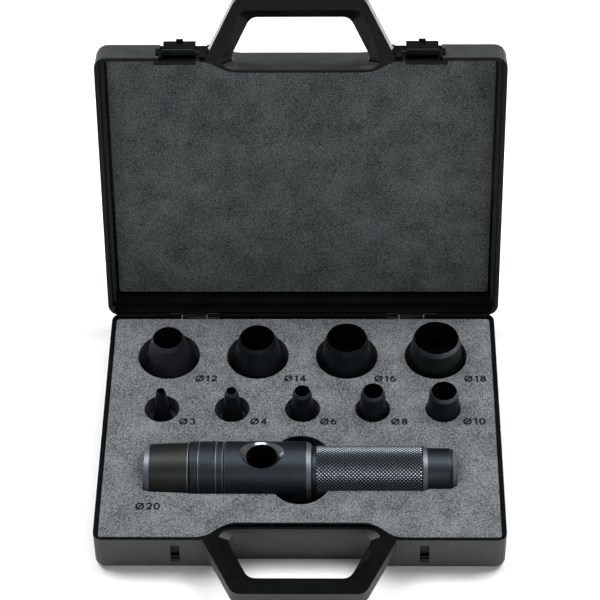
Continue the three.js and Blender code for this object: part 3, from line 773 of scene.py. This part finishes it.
def size_mark(bore, x, y):
    """A hole size printed on the foam: a diameter sign and the number."""
    data = bpy.data.curves.new("strokes", "CURVE")
    data.dimensions = "3D"
    data.bevel_depth = STROKE / 2 * MM
    data.bevel_resolution = 1
    data.use_fill_caps = True
    left = 0
    for character in ["sign"] + list(str(bore)):
        width, lines = CHARACTERS[character]
        for line in lines:
            looped = math.dist(line[0], line[-1]) < 0.001
            shown = line[:-1] if looped else line
            spline = data.splines.new("POLY")
            spline.points.add(len(shown) - 1)
            for point, (across, up) in zip(spline.points, shown):
                point.co = ((left + across) * MARK_H * MM, up * MARK_H * MM, 0, 1)
            spline.use_cyclic_u = looped
        left += width + (GAP_AFTER_SIGN if character == "sign" else GAP_AFTER_DIGIT)
    drawn = bpy.data.objects.new("strokes", data)
    bpy.context.collection.objects.link(drawn)
    graph = bpy.context.evaluated_depsgraph_get()
    mesh = bpy.data.meshes.new_from_object(drawn.evaluated_get(graph))
    bpy.data.objects.remove(drawn)
    mesh.transform(Matrix.Diagonal((1, 1, PRINT_T / (STROKE / 2), 1)))
    mesh.materials.clear()
    mesh.materials.append(INK)
    obj = bpy.data.objects.new(f"mark_{bore:02d}", mesh)
    obj.location = ((x + MARK_SHIFT) * MM, y * MM, FOAM_TOP * MM)
    bpy.context.collection.objects.link(obj)
    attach(obj, "case_base")


for bore, (x, y) in MARK_PLACES.items():
    size_mark(bore, x, y)

# ---- Case pieces that keep their CAD shape ---------------------------------------


def dress(name, materials, width, choose=None):
    """A CAD node with its materials and its sharp edges broken; choose(place, normal) picks by face."""
    node = frame["nodes"][name]
    mesh = node.data
    mesh.materials.clear()
    for material in materials:
        mesh.materials.append(material)
    for polygon in mesh.polygons:
        polygon.material_index = choose(polygon.center, polygon.normal) if choose else 0
    mesh.shade_smooth()
    mesh.set_sharp_from_angle(angle=math.radians(28))
    if width:
        planar = node.modifiers.new("planar", "DECIMATE")
        planar.decimate_type = "DISSOLVE"
        planar.angle_limit = math.radians(0.6)
        planar.delimit = {"MATERIAL"}
        bevel = node.modifiers.new("edges", "BEVEL")
        bevel.width = width * MM
        bevel.segments = 3
        bevel.limit_method = "ANGLE"
        bevel.angle_limit = math.radians(30)
        bevel.use_clamp_overlap = False
    weighted = node.modifiers.new("weighted", "WEIGHTED_NORMAL")
    weighted.keep_sharp = False


lid_joint = next(joint for joint in frame["joints"] if joint["name"] == "lid_hinge")
HINGE = Vector(lid_joint["pos_m"])
OPENING = math.radians(abs(lid_joint["range_deg"][0]))
SHUT = Matrix.Rotation(OPENING, 3, "X")
SHELL_HALF_D = 59.4  # without the hinge
SIDE_WALL_X = 78.6
FRONT_WALL_Y = (-60, -53.5)  # between the handle's root and the recess behind it
HANDLE_INNER_X = 25.5
HANDLE_END_Y = -83
BASE_FACE_Z = 4  # the underside and its rounding end here
BASE_RIM_Z = 17.9
LID_FACE_Z = 27  # the same for the lid's big face, with the lid shut
LATCH_RECESS_X, LATCH_RECESS_Y = 55.6, -57


def outer_wall(place, normal):
    """True on a shell's outside: its walls and its big face, but not its rim or handle."""
    x, y = place.x / MM, place.y / MM
    beside = abs(x) > SIDE_WALL_X and abs(normal.x) > 0.3
    behind = y > SHELL_HALF_D - 1 and normal.y > 0.3
    before = FRONT_WALL_Y[0] < y < FRONT_WALL_Y[1] and normal.y < -0.15 and abs(normal.z) < 0.9
    handle_arm = y < FRONT_WALL_Y[0] and abs(normal.z) < 0.3 and (
        normal.x * x > 0 and abs(x) > HANDLE_INNER_X)
    handle_end = y < HANDLE_END_Y and normal.y < -0.5
    return beside or behind or before or handle_arm or handle_end


def base_finish(place, normal):
    """Grained outside, polished elsewhere."""
    flat_bottom = normal.z < -0.3 and place.z < BASE_FACE_Z * MM
    return int((outer_wall(place, normal) and place.z < BASE_RIM_Z * MM) or flat_bottom)


def lid_finish(place, normal):
    """The same for the lid, judged with the lid shut."""
    shut_place = SHUT @ (place - HINGE) + HINGE
    shut_normal = SHUT @ normal
    latch_recess = abs(shut_place.x) < LATCH_RECESS_X * MM and shut_place.y < LATCH_RECESS_Y * MM
    flat_top = shut_normal.z > 0.3 and shut_place.z > LID_FACE_Z * MM
    return int(flat_top or (outer_wall(shut_place, shut_normal) and not latch_recess))


dress("base_shell", [POLISHED, GRAINED], 0.3, base_finish)
dress("lid_shell", [POLISHED, GRAINED], 0.3, lid_finish)
dress("latch_left", [POLISHED], 0.12)
dress("latch_right", [POLISHED], 0.12)
dress("base_foam_pad", [BASE_FOAM], 0)
# The lid's foam gets the darker copy of the base foam: painted shade.
dress("lid_foam_pad", [LID_FOAM_SHADED], 0.3)
dress("hinge_pin_left", [PIN_STEEL], 0)
dress("hinge_pin_right", [PIN_STEEL], 0)

# ---- Floor and light -------------------------------------------------------------


def make_floor():
    """Seamless pale paper under the case."""
    reach = 3000
    corners = [(-reach, -reach, 0), (reach, -reach, 0), (reach, reach, 0), (-reach, reach, 0)]
    obj = piece("floor", corners, [(0, 1, 2, 3)], [floor_paper()])


def area_light(name, place, target, size, power):
    """A soft rectangular light aimed at target."""
    data = bpy.data.lights.new(name, "AREA")
    data.shape = "RECTANGLE"
    data.size, data.size_y = size
    data.energy = power
    obj = bpy.data.objects.new(name, data)
    obj.location = place
    obj.rotation_euler = (Vector(target) - Vector(place)).to_track_quat("-Z", "Y").to_euler()
    bpy.context.collection.objects.link(obj)


def make_world():
    """Pale surroundings."""
    world = bpy.data.worlds.new("surroundings")
    world.use_nodes = True
    world.node_tree.nodes["Background"].inputs["Color"].default_value = (1, 1, 1, 1)
    world.node_tree.nodes["Background"].inputs["Strength"].default_value = 0.1
    bpy.context.scene.world = world
    bpy.context.scene.view_settings.view_transform = "Standard"


make_floor()
make_world()
area_light("left_soft", (-0.72, 0.42, 1.3), (0, 0, 0), (0.75, 0.75), 20)
area_light("right_soft", (0.72, 0.42, 1.3), (0, 0, 0), (0.75, 0.75), 22)
area_light("top_soft", (0.0, 0.3, 1.5), (0, 0, 0), (0.6, 0.6), 5)
area_light("front_strip", (0.1, -1.15, 0.8), (0, 0, 0.05), (1.4, 0.3), 6.5)
